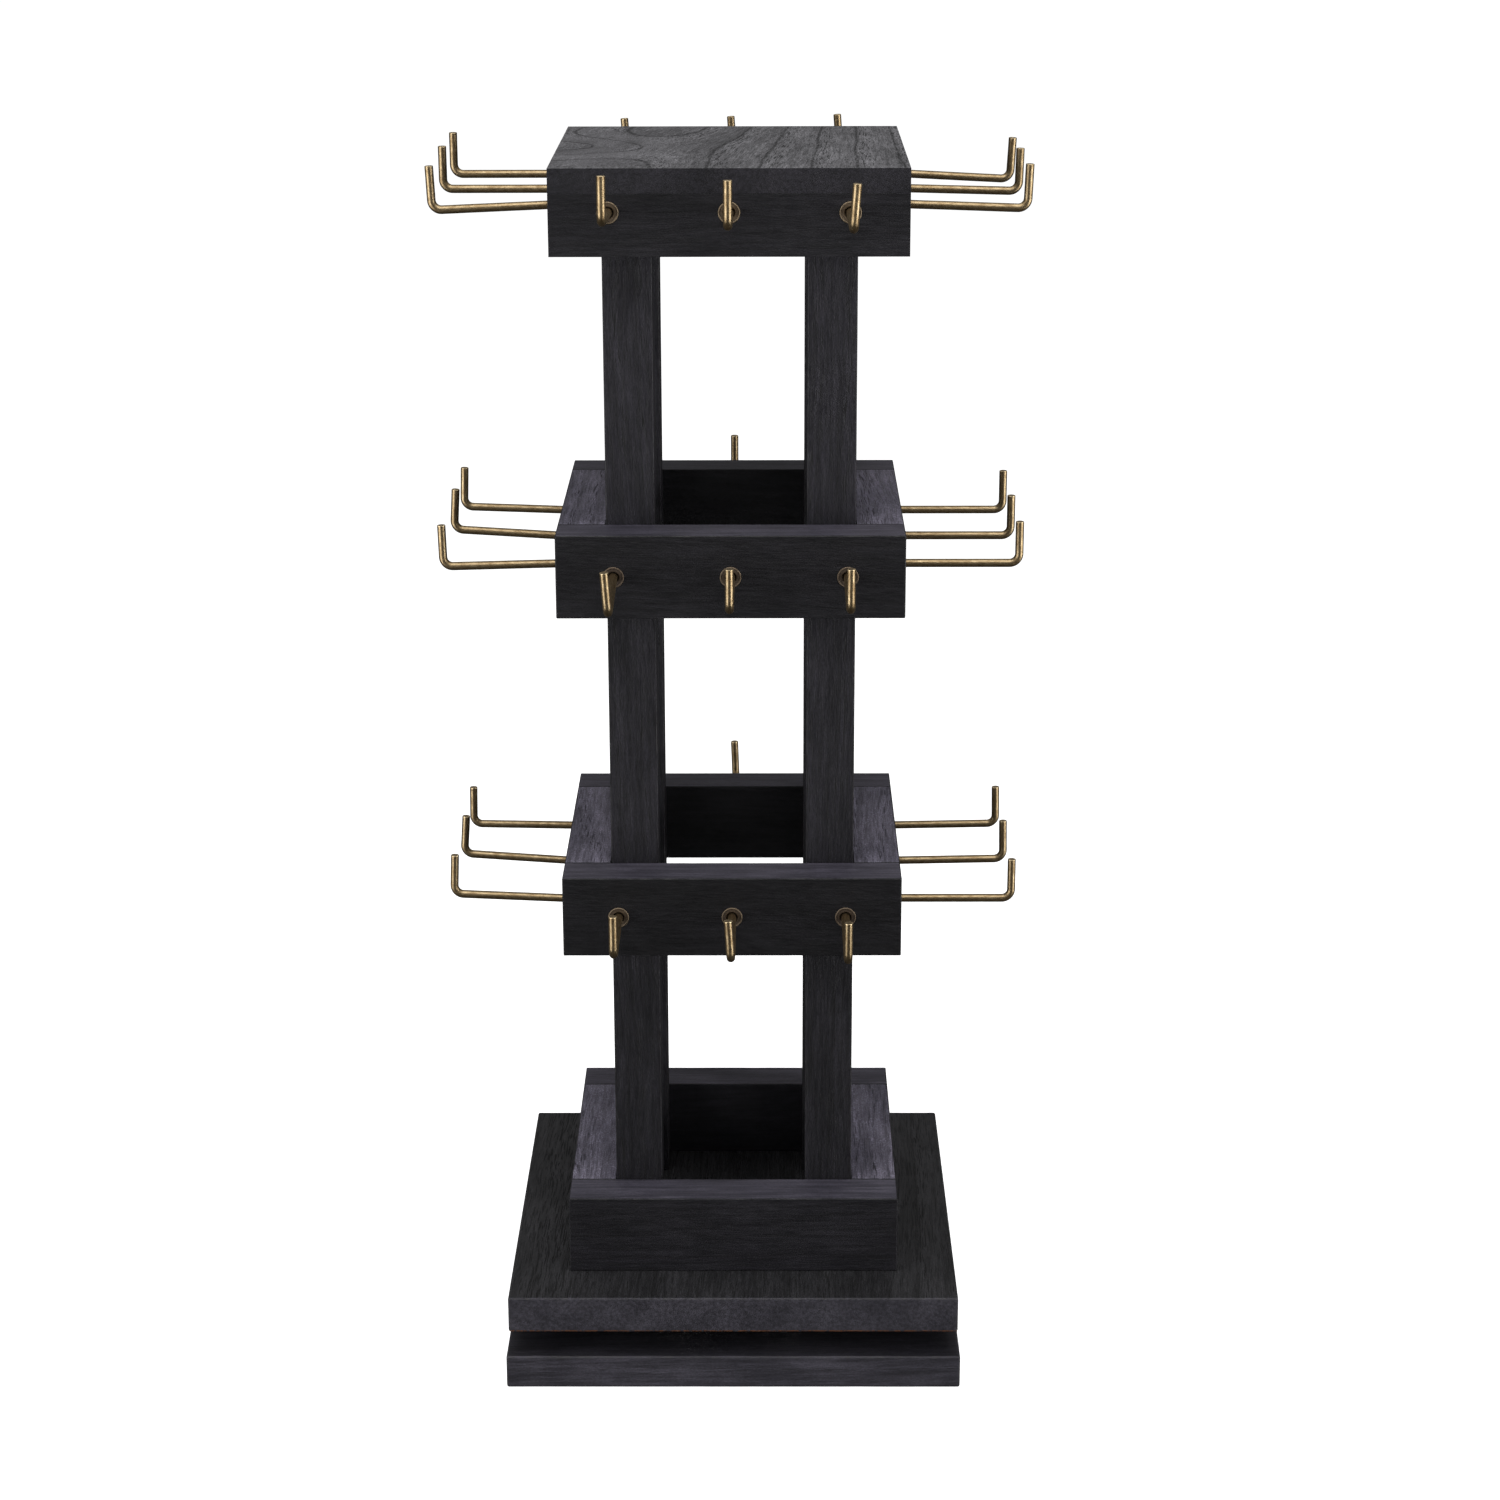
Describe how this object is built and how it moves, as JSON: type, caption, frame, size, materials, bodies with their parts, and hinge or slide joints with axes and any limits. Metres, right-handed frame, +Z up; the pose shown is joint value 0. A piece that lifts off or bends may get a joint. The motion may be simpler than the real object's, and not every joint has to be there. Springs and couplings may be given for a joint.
{
  "type": "revolving countertop hook stand",
  "caption": "Square wooden tower on a turntable base, with open tier frames joined by corner posts and L hooks on every side for hanging small goods.",
  "frame": {"origin": "centre of the base board's underside, on the turntable's axis", "axes": "+Z up along the turntable's axis, -Y the front, +X to the right seen from the front"},
  "size_m": [0.1961, 0.1962, 0.4216],
  "materials": {
    "black_stained_wood": "black-stained open-grain softwood, matt to satin",
    "aged_bronze": "antique bronze plating, satin, with brighter worn edges",
    "zinc_plated_steel": "bright zinc plating, satin"
  },
  "bodies": {
    "base": {"base_board": "black_stained_wood", "bearing_lower_plate": "zinc_plated_steel"},
    "ball_ring": {"bearing_ball_ring": "zinc_plated_steel"},
    "turntable": {"turntable_board": "black_stained_wood", "base_frame": "black_stained_wood", "cap_board": "black_stained_wood", "post_front_left": "black_stained_wood", "post_front_right": "black_stained_wood", "post_rear_left": "black_stained_wood", "post_rear_right": "black_stained_wood", "frame_lower_front": "black_stained_wood", "frame_lower_right": "black_stained_wood", "frame_lower_rear": "black_stained_wood", "frame_lower_left": "black_stained_wood", "frame_middle_front": "black_stained_wood", "frame_middle_right": "black_stained_wood", "frame_middle_rear": "black_stained_wood", "frame_middle_left": "black_stained_wood", "frame_top_front": "black_stained_wood", "frame_top_right": "black_stained_wood", "frame_top_rear": "black_stained_wood", "frame_top_left": "black_stained_wood", "bearing_upper_plate": "zinc_plated_steel", "hook_lower_front_left": "aged_bronze", "hook_lower_front_middle": "aged_bronze", "hook_lower_front_right": "aged_bronze", "hook_lower_right_left": "aged_bronze", "hook_lower_right_middle": "aged_bronze", "hook_lower_right_right": "aged_bronze", "hook_lower_rear_left": "aged_bronze", "hook_lower_rear_middle": "aged_bronze", "hook_lower_rear_right": "aged_bronze", "hook_lower_left_left": "aged_bronze", "hook_lower_left_middle": "aged_bronze", "hook_lower_left_right": "aged_bronze", "hook_middle_front_left": "aged_bronze", "hook_middle_front_middle": "aged_bronze", "hook_middle_front_right": "aged_bronze", "hook_middle_right_left": "aged_bronze", "hook_middle_right_middle": "aged_bronze", "hook_middle_right_right": "aged_bronze", "hook_middle_rear_left": "aged_bronze", "hook_middle_rear_middle": "aged_bronze", "hook_middle_rear_right": "aged_bronze", "hook_middle_left_left": "aged_bronze", "hook_middle_left_middle": "aged_bronze", "hook_middle_left_right": "aged_bronze", "hook_top_front_left": "aged_bronze", "hook_top_front_middle": "aged_bronze", "hook_top_front_right": "aged_bronze", "hook_top_right_left": "aged_bronze", "hook_top_right_middle": "aged_bronze", "hook_top_right_right": "aged_bronze", "hook_top_rear_left": "aged_bronze", "hook_top_rear_middle": "aged_bronze", "hook_top_rear_right": "aged_bronze", "hook_top_left_left": "aged_bronze", "hook_top_left_middle": "aged_bronze", "hook_top_left_right": "aged_bronze"}
  },
  "joints": [
    {"name": "turntable_spin", "type": "hinge", "parent": "base", "child": "turntable", "pos_m": [0, 0, 0.0165], "axis": [0, 0, 1], "continuous": true},
    {"name": "ball_ring_spin", "type": "hinge", "parent": "base", "child": "ball_ring", "pos_m": [0, 0, 0.0165], "axis": [0, 0, 1], "continuous": true}
  ],
  "couplings": [
    {"joint": "ball_ring_spin", "follows": "turntable_spin", "ratio": 0.5}
  ]
}
